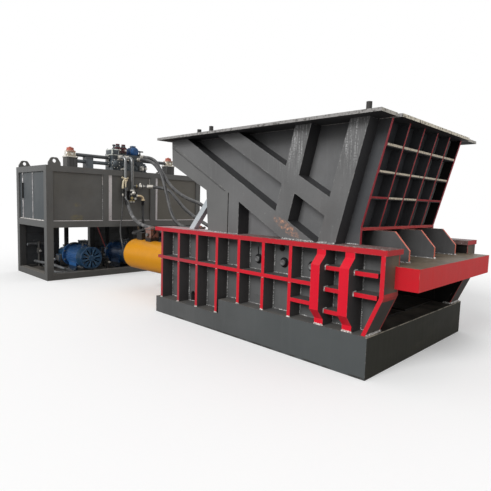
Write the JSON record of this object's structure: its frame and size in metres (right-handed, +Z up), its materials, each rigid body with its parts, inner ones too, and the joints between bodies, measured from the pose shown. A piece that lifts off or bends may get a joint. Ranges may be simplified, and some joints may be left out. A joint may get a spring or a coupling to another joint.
{
  "type": "container scrap metal shear",
  "caption": "Container scrap shear: open hopper above a horizontal hydraulic knife in a ribbed frame on a skid, with twin rams and hoses to a separate oil tank and pump pack.",
  "frame": {"origin": "on the floor, under the middle of the shear's base skid", "axes": "+X to the discharge end, +Y to the left seen along +X, +Z up"},
  "size_m": [8.119, 3.57, 2.676],
  "materials": {
    "grey_paint": "semi-gloss",
    "red_edge_paint": "semi-gloss",
    "red_paint": "semi-gloss",
    "wear_steel": "worn",
    "blade_steel": "ground",
    "yellow_paint": "gloss",
    "chrome": "polished",
    "machined_steel": "machined",
    "pack_paint": "semi-gloss",
    "bare_strip": "bare",
    "cream_paint": "semi-gloss",
    "brass": "plated",
    "blue_paint": "semi-gloss",
    "cast_metal": "as cast",
    "rotor_steel": "machined",
    "black_rubber": "matt",
    "pale_paint": "semi-gloss",
    "worn_paint": "worn"
  },
  "bodies": {
    "machine": {"base_skid": "grey_paint", "side_webs": "grey_paint", "hopper_walls": "grey_paint", "left_lattice": "grey_paint", "right_lattice": "grey_paint", "hopper_legs": "grey_paint", "hopper_floor": "grey_paint", "front_wall": "grey_paint", "rear_plate": "grey_paint", "bed_beams": "grey_paint", "throat_beam": "grey_paint", "top_flanges": "red_edge_paint", "side_ribs": "red_edge_paint", "end_plates": "red_edge_paint", "front_grid": "red_edge_paint", "front_gussets": "red_edge_paint", "front_beam": "red_edge_paint", "heavy_columns": "red_paint", "fill_blocks": "red_paint", "filter_caps": "red_paint", "wear_liners": "wear_steel", "fixed_blades": "blade_steel", "barrels": "yellow_paint", "drop_pipes": "chrome", "glands": "machined_steel", "port_blocks": "machined_steel", "valve_blocks": "machined_steel", "guide_screws": "machined_steel", "pilot_valves": "machined_steel", "pack_posts": "pack_paint", "pack_beams": "pack_paint", "pack_tray": "pack_paint", "rear_sheets": "pack_paint", "oil_tank": "pack_paint", "pack_lugs": "pack_paint", "return_pipes": "pack_paint", "tank_strips": "bare_strip", "filter_heads": "cream_paint", "brass_elbow": "brass", "motors": "blue_paint", "fan_cowls": "blue_paint", "pilot_motor": "blue_paint", "bell_housings": "blue_paint", "pumps": "cast_metal", "hose_far_rod": "black_rubber", "hose_far_fill": "black_rubber", "hose_far_second": "black_rubber", "hose_near_rod": "black_rubber", "hose_near_cap": "black_rubber", "hose_pilot": "black_rubber", "suction_pipes": "black_rubber", "leg_braces": "pale_paint", "hopper_rim": "worn_paint"},
    "knife": {"knife_carriage": "wear_steel", "moving_blades": "blade_steel", "piston_rods": "chrome", "pistons": "machined_steel"},
    "rotor_1": {"rotor_1": "rotor_steel"},
    "rotor_2": {"rotor_2": "rotor_steel"},
    "rotor_3": {"rotor_3": "rotor_steel"}
  },
  "joints": [
    {"name": "knife_slide", "type": "slide", "parent": "machine", "child": "knife", "axis": [1, 0, 0], "range_m": [0, 0.88]},
    {"name": "motor_1_spin", "type": "hinge", "parent": "machine", "child": "rotor_1", "pos_m": [-5, -0.60035, 0.357], "axis": [1, 0, 0], "continuous": true},
    {"name": "motor_2_spin", "type": "hinge", "parent": "machine", "child": "rotor_2", "pos_m": [-5, 0.3457, 0.357], "axis": [1, 0, 0], "continuous": true},
    {"name": "motor_3_spin", "type": "hinge", "parent": "machine", "child": "rotor_3", "pos_m": [-5, 1.29175, 0.357], "axis": [1, 0, 0], "continuous": true}
  ]
}
